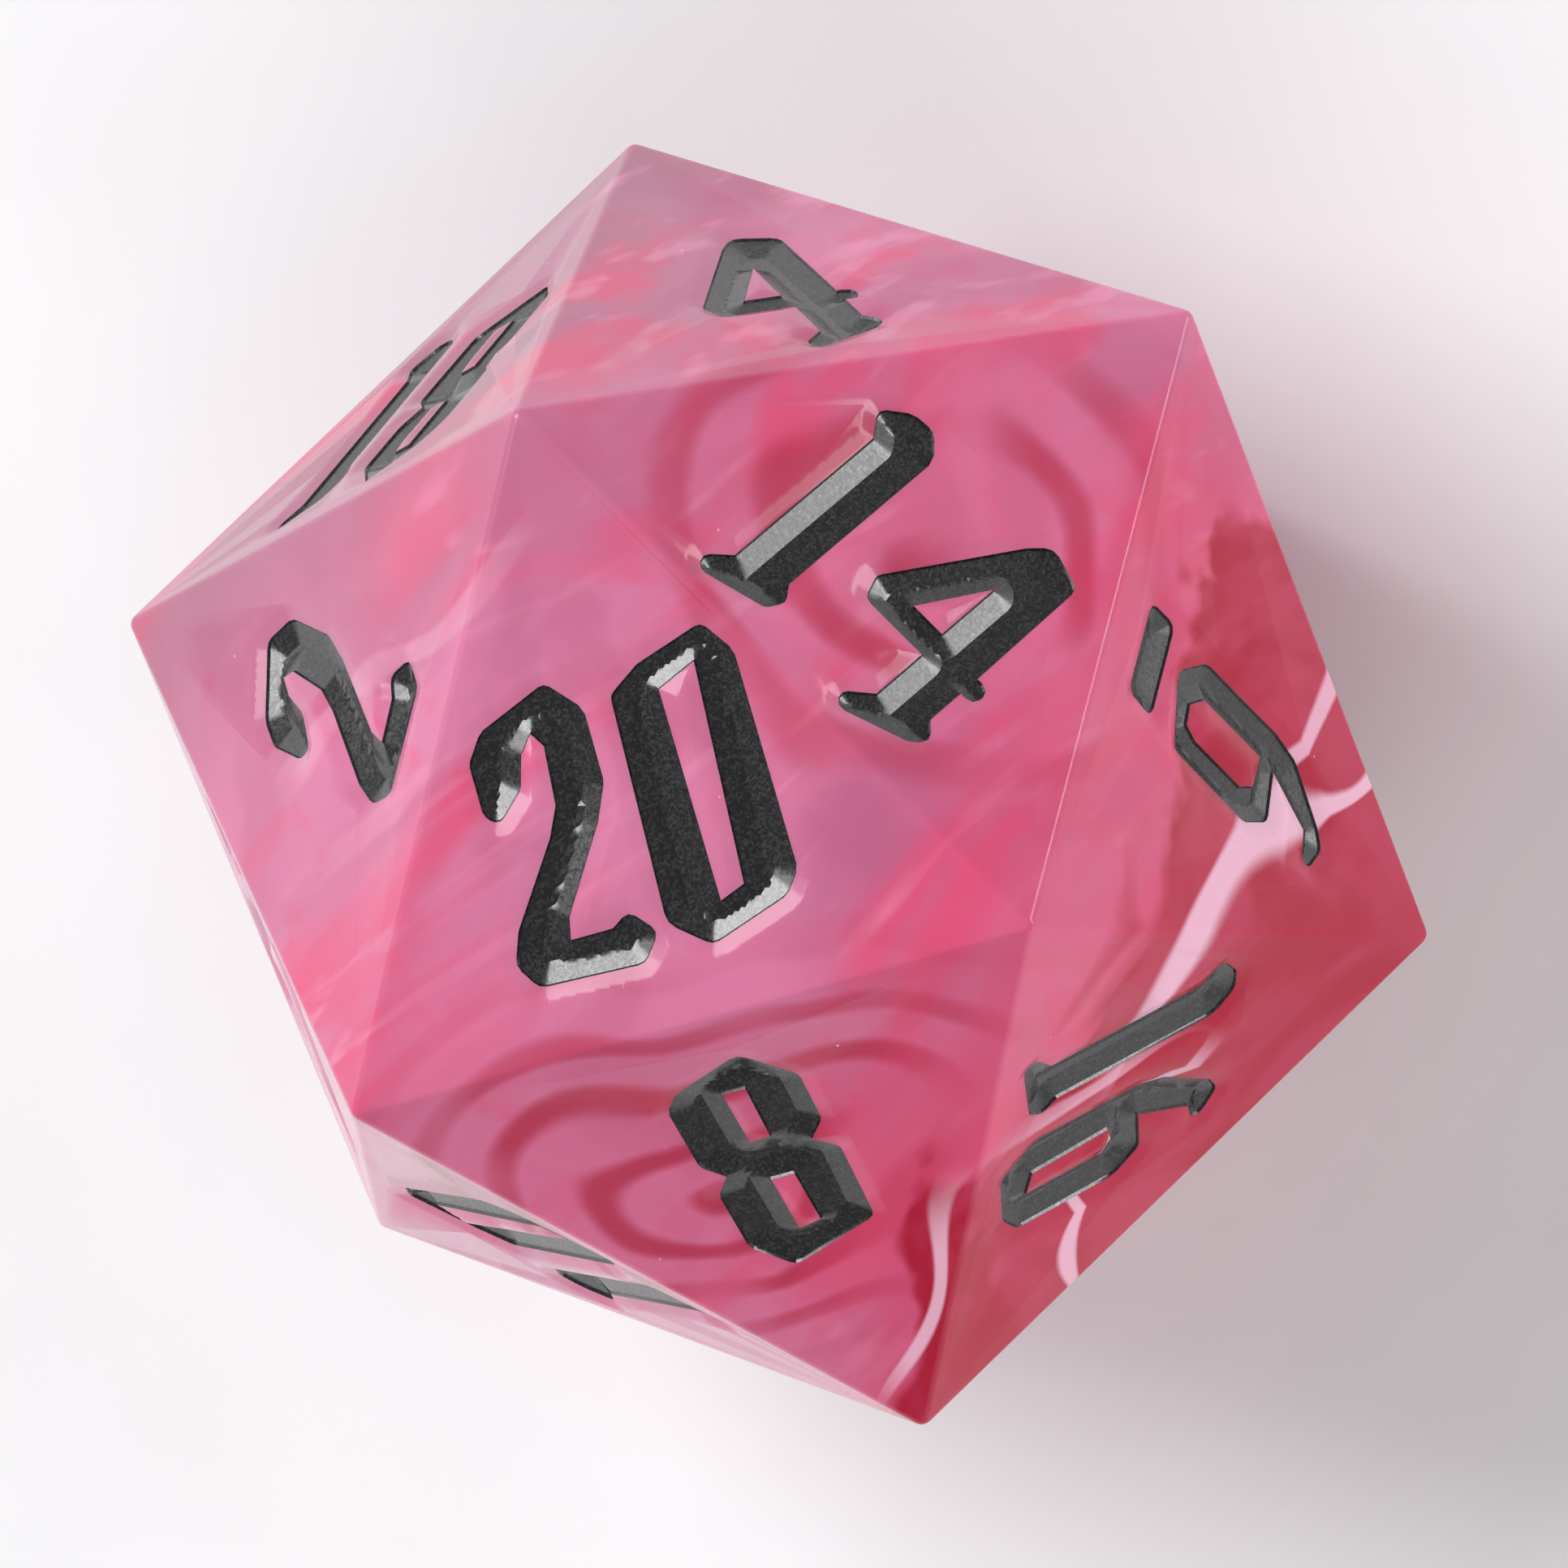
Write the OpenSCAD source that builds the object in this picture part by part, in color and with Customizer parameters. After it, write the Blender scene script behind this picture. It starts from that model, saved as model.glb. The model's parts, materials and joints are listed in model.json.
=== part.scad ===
// Twenty-sided polyhedral die, cast in resin, with engraved and painted numerals.
// Millimetres, +Z up. The die stands on its "1" face with the "20" face on top,
// and the origin is the middle of the "1" face.

/* [Die] */
// Distance between two opposite faces
face_gap = 22; // [16:0.5:40]
// Radius that polishing leaves on the edges and corners
edge_round = 0.25; // [0.1:0.05:0.6]
// Flats that make up the curve across one edge
edge_flats = 2; // [2:1:5]

/* [Numerals] */
// Flat resin left between the lowest stroke and the edge of the face
edge_margin = 0.35; // [0.2:0.05:1]
// Depth of the engraving below the face
engrave_depth = 0.4; // [0.2:0.05:0.8]
// How far an engraved wall leans in from its rim to its floor
wall_lean = 0.12; // [0.04:0.01:0.2]
// Corner radius left at the foot of the painted walls
corner_round = 0.05; // [0.02:0.01:0.1]
// Most that one flat turns on the curve round a corner, in degrees
corner_sweep = 45; // [20:5:90]

/* [Paint] */
// Thickness of the paint on the engraved walls
wall_paint = 0.04; // [0.02:0.01:0.08]
// Thickness of the paint on the engraved floor
floor_paint = 0.08; // [0.04:0.01:0.15]
// How far below the face the paint stops, where the face was wiped clean
wipe_depth = 0.03; // [0.01:0.01:0.1]

/* [Colours] */
// Colour of the marbled resin
resin_colour = "palevioletred"; // [palevioletred, orchid, crimson, mediumpurple, teal]
// Colour of the paint in the numerals
paint_colour = "black"; // [black, white, gold, silver]

/* [Hidden] */
function numeral_name(number) = str("numeral_", number < 10 ? "0" : "", number);

// ---- Regular icosahedron standing on a face ----
// Its twelve corners lie in four level rings of three. The lower six are
// straight opposite the upper six.

golden = (1 + sqrt(5)) / 2;
face_reach = face_gap / 2;
edge_length = face_reach * 2 * sqrt(3) / pow(golden, 2);
cap_radius = edge_length / sqrt(3);
belt_radius = cap_radius * golden;
belt_height = face_reach / pow(golden, 3);
face_radius = cap_radius / 2;

function unit(v) = v / norm(v);
function sum3(p) = p[0] + p[1] + p[2];
function level_point(radius, angle, height) = [radius * cos(angle), radius * sin(angle), height];

// Corners 0 to 2 are round the top face, 3 to 5 in the ring below, 6 to 11 opposite them
function corner(i) =
    i < 3 ? level_point(cap_radius, 90 - 120 * i, face_reach)
    : i < 6 ? level_point(belt_radius, 30 + 120 * (i - 3), belt_height)
    : -corner(i - 6);
CORNERS = [for (i = [0:11]) corner(i)];

// Each upper face: its number, the corner that its numeral points to, and its other two corners
UPPER_FACES = [
    [20, [0, 2, 1]], [14, [3, 0, 1]], [8, [5, 1, 2]], [2, [4, 2, 0]], [4, [11, 0, 3]],
    [18, [11, 4, 0]], [6, [10, 3, 1]], [16, [10, 1, 5]], [10, [9, 5, 2]], [12, [9, 2, 4]]
];
opposite_sum = 21;

function row_of(number, rows) = [for (row = rows) if (row[0] == number) row][0];
function is_upper(number) = !is_undef(row_of(number, UPPER_FACES));
function face_corners(number) =
    is_upper(number) ? [for (i = row_of(number, UPPER_FACES)[1]) CORNERS[i]]
    : [for (p = face_corners(opposite_sum - number)) -p];

// Places its children on a face: the face is the XY plane and the numeral's top is +Y
module on_face(number) {
    ends = face_corners(number);
    centre = sum3(ends) / 3;
    out = unit(centre);
    up = unit(ends[0] - centre);
    right = cross(up, out);
    place = [for (k = [0:2]) [right[k], up[k], out[k], centre[k]]];
    translate([0, 0, face_reach]) multmatrix(place) children();
}

// ---- Body with its edges and corners rounded ----

// Directions of the five faces round a corner, in order round it
FACE_OUTS = [for (number = [1:20]) unit(sum3(face_corners(number)))];
neighbour_cosine = sqrt(5) / 3;
touching = 0.001;
function outs_round(i) = [for (out = FACE_OUTS) if (out * unit(CORNERS[i]) > neighbour_cosine) out];
function are_neighbours(a, b) = abs(a * b - neighbour_cosine) < touching;

// Points on a unit ball in the patch between a corner's own direction and two face directions
function patch(tip, a, b) = [
    for (i = [0:edge_flats]) for (j = [0:edge_flats - i])
        unit(tip * (edge_flats - i - j) + a * i + b * j)
];
function corner_ball(i) = [
    for (a = outs_round(i)) for (b = outs_round(i)) if (are_neighbours(a, b))
        for (direction = patch(unit(CORNERS[i]), a, b)) direction
];

// Centres of the rounding balls, which touch all five faces round their corner
core_scale = (face_reach - edge_round) / face_reach;

module rounded_icosahedron() {
    points = [
        for (i = [0:11]) for (direction = corner_ball(i)) CORNERS[i] * core_scale + direction * edge_round
    ];
    translate([0, 0, face_reach])
        hull() polyhedron(points, [for (k = [0:3:len(points) - 3]) [k, k + 1, k + 2]]);
}

// ---- Numerals: strokes cut with a broad pen, on a grid where a digit is six units high ----
// Each digit is its outline and then the islands left inside it. A point is
// [x, y, extra corner radius], and outlines run anticlockwise.

digit_height = 6;
DIGIT_0 = [
    [[0.8, 0, 0.1], [2.55, 0.55, 0.1], [2.9, 1, 0.1], [2.85, 5.5, 0.15], [2.35, 6.2, 0], [0.85, 5.75, 0.1],
     [0.15, 5.3, 0], [0, 0.65, 0.2]],
    [[1.2, 0.8, 0], [1.75, 1, 0], [2, 5.5, 0], [1.15, 5.15, 0]]
];
DIGIT_1 = [
    [[0.2, 0, 0], [1.65, 0.45, 0], [1.85, 0.85, 0], [1.6, 1.2, 0], [1.6, 5.5, 0.15], [1.15, 6, 0.15],
     [0.6, 5.95, 0.1], [0.05, 5.45, 0], [0.45, 4.9, 0], [0.45, 0.8, 0], [0, 0.3, 0]]
];
DIGIT_2 = [
    [[0.35, 0.1, 0.1], [2.6, 0, 0.1], [3.05, 0.55, 0], [2.55, 1.1, 0], [2.15, 0.85, 0], [1.25, 0.85, 0],
     [1.35, 1.3, 0], [2.45, 2.95, 0], [2.8, 3.7, 0.1], [2.8, 5.2, 0.1], [2.15, 5.9, 0], [0.6, 5.3, 0.1],
     [0.2, 4.75, 0], [0.2, 3.7, 0], [0.45, 3.4, 0], [1.1, 4, 0], [1.3, 4.65, 0], [1.6, 5, 0],
     [1.8, 4.7, 0], [1.7, 3.5, 0], [1.4, 2.9, 0], [0.25, 1.3, 0.1], [0, 0.65, 0.1]]
];
DIGIT_3 = [
    [[0.9, 0, 0], [2.4, 0.5, 0.1], [2.85, 1, 0.1], [2.85, 2.6, 0], [2.45, 3.1, 0], [2.8, 3.6, 0],
     [2.8, 5.2, 0.1], [2.15, 5.9, 0], [0.6, 5.3, 0.1], [0.2, 4.75, 0], [0.2, 3.7, 0], [1.1, 4, 0],
     [1.35, 4.65, 0], [1.85, 4.8, 0], [1.8, 3.65, 0], [1, 3.35, 0], [0.95, 2.65, 0], [1.85, 2.45, 0],
     [1.8, 1.2, 0], [1.25, 1.05, 0], [1, 1.75, 0], [0.1, 2.1, 0], [0.05, 0.7, 0.1]]
];
DIGIT_4 = [
    [[1.45, 0, 0], [2.95, 0.6, 0], [3.25, 0.95, 0], [2.9, 1.3, 0], [2.9, 2.2, 0], [3.25, 2.2, 0],
     [3.25, 2.7, 0], [2.9, 2.7, 0], [2.85, 5.75, 0.05], [1.9, 6.05, 0.1], [1.55, 5.6, 0.1], [0, 2.75, 0],
     [0.2, 2.2, 0], [1.8, 2.2, 0], [1.8, 0.85, 0], [1.3, 0.35, 0]],
    [[0.95, 2.85, 0], [1.75, 2.85, 0], [1.75, 4.4, 0]]
];
DIGIT_5 = [
    [[0.9, 0, 0], [2.4, 0.5, 0.1], [2.85, 1, 0.1], [2.85, 3.1, 0.1], [2.3, 3.75, 0], [1.35, 3.5, 0],
     [1.35, 4.85, 0], [2.4, 4.85, 0], [2.9, 5.35, 0], [2.75, 6.1, 0], [2.3, 5.8, 0], [0.4, 5.8, 0],
     [0.35, 2.5, 0], [1.8, 2.75, 0], [1.8, 1.2, 0], [1.25, 1.05, 0], [1, 1.75, 0], [0.1, 2.1, 0],
     [0.05, 0.7, 0.1]]
];
DIGIT_6 = [
    [[0.75, 0, 0.1], [2.1, 0.35, 0.1], [2.6, 0.85, 0.1], [2.55, 3.5, 0.1], [2.05, 4.1, 0], [1, 3.85, 0],
     [1.6, 5.35, 0], [2.3, 5.65, 0], [1.5, 6.15, 0], [1.1, 5.85, 0], [0.2, 4.4, 0.1], [0, 3.6, 0.1],
     [0, 0.8, 0.2]],
    [[1.05, 0.95, 0], [1.6, 0.9, 0], [1.6, 2.95, 0], [1.3, 3.15, 0], [0.95, 3, 0]]
];
DIGIT_7 = [
    [[0.85, 0, 0], [1.9, 0.35, 0], [1.95, 2, 0.1], [2.85, 4.6, 0.1], [2.9, 5.75, 0.1], [0.75, 5.7, 0],
     [0.25, 6.05, 0], [0, 5.6, 0], [0.05, 4.75, 0], [0.45, 4.3, 0], [0.9, 4.8, 0], [1.9, 4.75, 0],
     [0.9, 2.2, 0.1]]
];
DIGIT_8 = [
    [[0.95, 0, 0.1], [2.5, 0.6, 0.1], [2.85, 1, 0.1], [2.85, 2.7, 0], [2.45, 3.15, 0], [2.8, 3.6, 0],
     [2.8, 5.2, 0.1], [2.1, 6, 0], [0.1, 5.25, 0], [0, 3.15, 0], [0.45, 2.75, 0], [0.05, 2.3, 0],
     [0, 0.95, 0.1]],
    [[1.15, 0.95, 0], [1.65, 0.95, 0], [1.65, 2.4, 0], [1.2, 2.4, 0]],
    [[1.15, 3.55, 0], [1.65, 3.55, 0], [1.65, 5.05, 0], [1.15, 4.95, 0]]
];
// The 6 that stands alone over a bar is cut with a finer pen
BARRED_6 = [
    [[0.7, 0, 0.1], [2.25, 0.5, 0], [2.3, 3.25, 0.1], [1.85, 4, 0], [0.8, 3.8, 0], [1.3, 5.2, 0],
     [2.3, 5.5, 0], [1.35, 5.95, 0], [1, 5.65, 0], [0.15, 4.4, 0.1], [0, 3.6, 0.1], [0, 0.85, 0.1]],
    [[0.75, 1.05, 0], [1.1, 0.65, 0], [1.55, 0.7, 0], [1.7, 1.1, 0], [1.7, 2.85, 0], [1.45, 3.25, 0],
     [0.75, 3.25, 0]]
];
width_6 = 2.6;
width_barred = 2.3;
// Turns a digit upside down, which makes a 9 of a 6
function turned(digit, width) = [
    for (outline = digit) [for (p = outline) [width - p[0], digit_height - p[1], p[2]]]
];
DIGIT_9 = turned(DIGIT_6, width_6);
BARRED_9 = turned(BARRED_6, width_barred);
DIGITS = [DIGIT_0, DIGIT_1, DIGIT_2, DIGIT_3, DIGIT_4, DIGIT_5, DIGIT_6, DIGIT_7, DIGIT_8, DIGIT_9];
DIGIT_WIDTHS = [2.9, 1.85, 3.05, 2.85, 3.25, 2.85, width_6, 2.9, 2.85, width_6];

// Space between two digits, which a narrow "1" in front makes wider
digit_space = 0.2;
space_after_one = 0.75;
// The bar that tells the 6 from the 9, and where those two sit to make room for it
BAR = [[-1.1, -2.95, 0], [1, -2.95, 0], [1.1, -2.05, 0], [-1.1, -2.05, 0]];
barred_baseline = -1.6;
single_baseline = -2.9;
pair_baseline = -3.35;
lowest_baseline = -3.75;
// Faces whose lettering is set off the usual place: number, shift to the right, baseline
NUDGES = [
    [20, -0.1, -2.85], [14, 0.25, lowest_baseline], [16, -0.15, pair_baseline], [2, 0.2, -2.8],
    [4, -0.2, -3.1], [6, 0.15, barred_baseline], [3, 0.1, -3]
];

function has_bar(number) = number == 6 || number == 9;
function digits_of(number) = number < 10 ? [number] : [floor(number / 10), number % 10];
function usual_baseline(number) =
    has_bar(number) ? barred_baseline : number < 10 ? single_baseline : pair_baseline;
function nudge(number) =
    is_undef(row_of(number, NUDGES)) ? [number, 0, usual_baseline(number)] : row_of(number, NUDGES);
function outlines_of(number) =
    number == 6 ? [BARRED_6] : number == 9 ? [BARRED_9] : [for (digit = digits_of(number)) DIGITS[digit]];
function widths_of(number) =
    has_bar(number) ? [width_barred] : [for (digit = digits_of(number)) DIGIT_WIDTHS[digit]];
function space_in(number) = digits_of(number)[0] == 1 ? space_after_one : digit_space;
function width_of(number) =
    number < 10 ? widths_of(number)[0] : widths_of(number)[0] + space_in(number) + widths_of(number)[1];

// Size of one lettering unit, so that the lowest numeral keeps its margin to the rounded edge
unit_size = (face_radius * core_scale - edge_margin) / -lowest_baseline;

// ---- Engraving: each outline leans in as it goes down ----

function left_of(v) = [-v[1], v[0]];
function flat(p) = [p[0], p[1]] * unit_size;
function mitre(a, b) = (a + b) / (1 + a * b);
end_round = corner_round + wall_lean + wall_paint;

// Points round one corner, where in_a and in_b point off the outline's two sides to its left,
// and "inset" is how far the whole outline has moved that way. The cutter rounds the corners
// at the ends of strokes and leaves the others sharp.
function arc(p, in_a, in_b, radius, inset) =
    let (sweep = atan2(cross(in_a, in_b), in_a * in_b),
         centre = p + radius * mitre(in_a, in_b),
         start = atan2(in_a[1], in_a[0]),
         flats = ceil(sweep / corner_sweep))
    [for (k = [0:flats]) let (angle = start + sweep * k / flats)
        centre - (radius - inset) * [cos(angle), sin(angle)]];

function ring(outline, inset, is_island) = [
    for (i = [0:len(outline) - 1])
        let (before = flat(outline[(i + len(outline) - 1) % len(outline)]),
             here = flat(outline[i]),
             after = flat(outline[(i + 1) % len(outline)]),
             in_a = left_of(unit(here - before)),
             in_b = left_of(unit(after - here)),
             radius = end_round + outline[i][2] * unit_size)
        each is_island ? [here - inset * mitre(in_a, in_b)]
            : cross(in_a, in_b) > 0 ? arc(here, in_a, in_b, radius, inset)
            : [here + inset * mitre(in_a, in_b)]
];

// A concave outline is filled with triangles by cutting off one ear at a time. "left" holds the
// numbers of the ring's points that are still there, and an ear holds none of the others.
function holds(a, b, c, p) =
    p != a && p != b && p != c
    && cross(b - a, p - a) >= 0 && cross(c - b, p - b) >= 0 && cross(a - c, p - c) >= 0;
function corner_at(left, i) = let (n = len(left)) [left[(i + n - 1) % n], left[i % n], left[(i + 1) % n]];
function is_ear(ring, ear, left) =
    let (a = ring[ear[0]], b = ring[ear[1]], c = ring[ear[2]])
    cross(b - a, c - b) > 0 && len([for (k = left) if (holds(a, b, c, ring[k])) k]) == 0;
function first_ear(ring, left, i = 0) =
    is_ear(ring, corner_at(left, i), left) ? i : first_ear(ring, left, i + 1);
function filled(ring, left) =
    len(left) == 3 ? [left]
    : let (ear = first_ear(ring, left))
        concat([corner_at(left, ear)], filled(ring, [for (i = [0:len(left) - 1]) if (i != ear) left[i]]));

// How far an island's solid runs past the plug that it is cut from
island_overrun = 0.03;

// How far a wall has leaned in at a height below the face
function lean_at(height) = -height * wall_lean / engrave_depth;

// Solid between two heights whose walls follow the engraved ones, "skin" inside them
module plug(outline, skin, low, high, is_island) {
    bottom = ring(outline, skin + lean_at(low), is_island);
    top = ring(outline, skin + lean_at(high), is_island);
    n = len(bottom);
    points = concat([for (p = bottom) [p[0], p[1], low]], [for (p = top) [p[0], p[1], high]]);
    sides = [for (i = [0:n - 1]) let (j = (i + 1) % n) each [[i, i + n, j + n], [i, j + n, j]]];
    floor_faces = filled(bottom, [for (i = [0:n - 1]) i]);
    top_faces = [for (t = filled(top, [for (i = [0:n - 1]) i])) [t[2] + n, t[1] + n, t[0] + n]];
    polyhedron(points, concat(sides, floor_faces, top_faces));
}

// One digit: its outer plug with the islands cut out of it
module digit_plug(outlines, skin, low, high) {
    difference() {
        plug(outlines[0], skin, low, high, false);
        for (k = [1:1:len(outlines) - 1])
            plug(outlines[k], skin, low - island_overrun, high + island_overrun, true);
    }
}

module numeral_plug(number, skin, low, high) {
    digits = outlines_of(number);
    start = nudge(number)[1] - width_of(number) / 2;
    pitch = widths_of(number)[0] + space_in(number);
    baseline = nudge(number)[2];
    on_face(number) {
        for (k = [0:len(digits) - 1])
            translate([start + k * pitch, baseline, 0] * unit_size) digit_plug(digits[k], skin, low, high);
        if (has_bar(number)) plug(BAR, skin, low, high, false);
    }
}

// ---- Sub-parts ----

// Height above the face to which the engraving tool cuts
cut_above = 0.1;

module body() {
    color(resin_colour)
        difference() {
            rounded_icosahedron();
            for (number = [1:20])
                numeral_plug(number, 0, -engrave_depth, cut_above);
        }
}

// Paint lining one engraved number: a skin on its walls and a thicker layer on its floor
module numeral(number) {
    color(paint_colour)
        difference() {
            numeral_plug(number, 0, -engrave_depth, -wipe_depth);
            numeral_plug(number, wall_paint, floor_paint - engrave_depth, cut_above);
        }
}

body();
for (number = [1:20])
    numeral(number);
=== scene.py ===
"""A twenty-sided resin die with engraved, painted numerals, standing on a pale table.

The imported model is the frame: the die's solid body and the paint that lines each numeral. This script
gives them their finished surfaces, which are the soft dip of the resin round every engraving and the
paint that pooled in it, and their materials. Metres, +Z up, the die rests on the origin.
"""

import json
import logging
import math
from abc import ABC, abstractmethod
from dataclasses import dataclass, field
from enum import Enum

import bmesh
import bpy
import numpy as np
from mathutils import Matrix, Vector
from mathutils.geometry import delaunay_2d_cdt

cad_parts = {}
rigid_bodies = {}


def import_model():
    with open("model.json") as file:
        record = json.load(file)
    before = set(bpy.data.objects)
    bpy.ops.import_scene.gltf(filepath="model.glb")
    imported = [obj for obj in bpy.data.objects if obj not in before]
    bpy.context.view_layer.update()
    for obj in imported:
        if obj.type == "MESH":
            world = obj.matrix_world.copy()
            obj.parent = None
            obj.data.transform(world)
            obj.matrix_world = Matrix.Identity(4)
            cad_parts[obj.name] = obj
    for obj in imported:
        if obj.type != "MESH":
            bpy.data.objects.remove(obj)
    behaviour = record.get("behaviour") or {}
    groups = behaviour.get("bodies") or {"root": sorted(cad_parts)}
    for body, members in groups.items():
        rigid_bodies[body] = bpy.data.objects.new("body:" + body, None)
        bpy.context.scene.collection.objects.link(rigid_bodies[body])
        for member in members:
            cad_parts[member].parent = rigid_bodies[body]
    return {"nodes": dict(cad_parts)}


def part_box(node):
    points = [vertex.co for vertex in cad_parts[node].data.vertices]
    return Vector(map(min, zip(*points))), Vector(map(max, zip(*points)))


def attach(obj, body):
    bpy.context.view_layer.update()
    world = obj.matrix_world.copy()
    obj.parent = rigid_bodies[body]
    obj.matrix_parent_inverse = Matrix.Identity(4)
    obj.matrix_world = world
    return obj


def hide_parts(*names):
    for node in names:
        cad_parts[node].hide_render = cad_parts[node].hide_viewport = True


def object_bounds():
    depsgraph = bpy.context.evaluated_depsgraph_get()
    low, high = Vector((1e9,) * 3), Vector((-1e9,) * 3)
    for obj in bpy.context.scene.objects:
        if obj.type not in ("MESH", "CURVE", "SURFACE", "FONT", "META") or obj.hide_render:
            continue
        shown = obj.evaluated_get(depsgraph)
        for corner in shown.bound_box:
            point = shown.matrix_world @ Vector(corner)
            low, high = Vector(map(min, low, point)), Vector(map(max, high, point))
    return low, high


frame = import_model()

LOG = logging.getLogger("die")
MM = 0.001
CAD_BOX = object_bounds()

Colour = tuple[float, float, float, float]
Triple = tuple[float, float, float]

MERGE_DISTANCE = 0.0002 * MM  # corners nearer than this are one corner
SHARP_RESIN = 30  # degrees between two facets of the resin above which their edge stays sharp
SHARP_PAINT = 14  # the same for the paint


class Part(Enum):
    """What a spot of an engraved face belongs to."""

    RESIN = "resin"
    PAINT = "paint"


# ---------------------------------------------------------------- the die's geometry


@dataclass(frozen=True)
class Icosahedron:
    """The ideal solid that the die is cut to, standing on one face.

    Attributes:
        low: Lowest corner of the die's box.
        high: Highest corner of the die's box.
    """

    low: Vector
    high: Vector

    @property
    def reach(self) -> float:
        """Distance from the middle of the die to each face."""
        return (self.high.z - self.low.z) / 2

    @property
    def centre(self) -> Vector:
        """Middle of the die."""
        return Vector((0, 0, (self.high.z + self.low.z) / 2))

    def corners(self) -> list[Vector]:
        """Works out the twelve corners, as offsets from the middle.

        Returns:
            Three round the top face, three in the ring below it, and their opposites.
        """
        golden = (1 + math.sqrt(5)) / 2
        edge = self.reach * 2 * math.sqrt(3) / golden**2
        cap, belt, height = edge / math.sqrt(3), edge / math.sqrt(3) * golden, self.reach / golden**3
        upper = []
        for radius, first, z in ((cap, 90, self.reach), (belt, 30, height)):
            for turn in range(3):
                angle = math.radians(first + 120 * turn)
                upper.append(Vector((radius * math.cos(angle), radius * math.sin(angle), z)))
        return upper + [-corner for corner in upper]

    def face_directions(self) -> list[Vector]:
        """Works out which way each of the twenty faces looks.

        Returns:
            Unit vectors from the middle of the die to the middle of each face.
        """
        corners = self.corners()
        shortest = min((a - b).length for a in corners for b in corners if a is not b)
        near = shortest * 1.01
        found = []
        for i, a in enumerate(corners):
            for j, b in enumerate(corners[:i]):
                for c in corners[:j]:
                    if max((a - b).length, (b - c).length, (c - a).length) < near:
                        found.append((a + b + c).normalized())
        return found

    def facing(self, spot: Vector) -> Vector:
        """Picks the face direction nearest to a spot on the die.

        Args:
            spot: A point near one face.

        Returns:
            That face's unit direction.
        """
        away = (spot - self.centre).normalized()
        return max(self.face_directions(), key=lambda out: out.dot(away))


@dataclass(frozen=True)
class Profile:
    """How the surface runs across the rim of an engraving, in metres.

    Attributes:
        dip_width: Width of the resin's soft dip outside the rim.
        dip_depth: How far the rim lies below the face.
        step_width: Width of the steep strip of paint just inside the rim.
        step_depth: Drop of that strip.
        pool_width: Width of the slope that the paint's meniscus makes.
        pool_depth: Drop of the slope.
        spacing: Distance between the points of the finished mesh.
        clearance: Gap between those points and the lines where the slope changes, in spacings.
    """

    dip_width: float = 0.36 * MM
    dip_depth: float = 0.12 * MM
    step_width: float = 0.03 * MM
    step_depth: float = 0.06 * MM
    pool_width: float = 0.44 * MM
    pool_depth: float = 0.16 * MM
    spacing: float = 0.09 * MM
    clearance: float = 0.8

    def height(self, part: Part, distance: np.ndarray) -> np.ndarray:
        """Gives the height of the surface against the flat face.

        Args:
            part: Resin outside the rim, or paint inside it.
            distance: Distances to the nearest rim.

        Returns:
            Heights, which are zero or below it.
        """
        if part is Part.RESIN:
            return -self.dip_depth * np.clip(1 - distance / self.dip_width, 0, 1)
        step = np.clip(distance / self.step_width, 0, 1) * self.step_depth
        pool = np.clip((distance - self.step_width) / self.pool_width, 0, 1) * self.pool_depth
        return -self.dip_depth - step - pool

    def contours(self, part: Part) -> list[float]:
        """Distances from the rim at which the surface changes slope."""
        if part is Part.RESIN:
            return [self.dip_width]
        return [self.step_width, self.step_width + self.pool_width]


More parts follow.
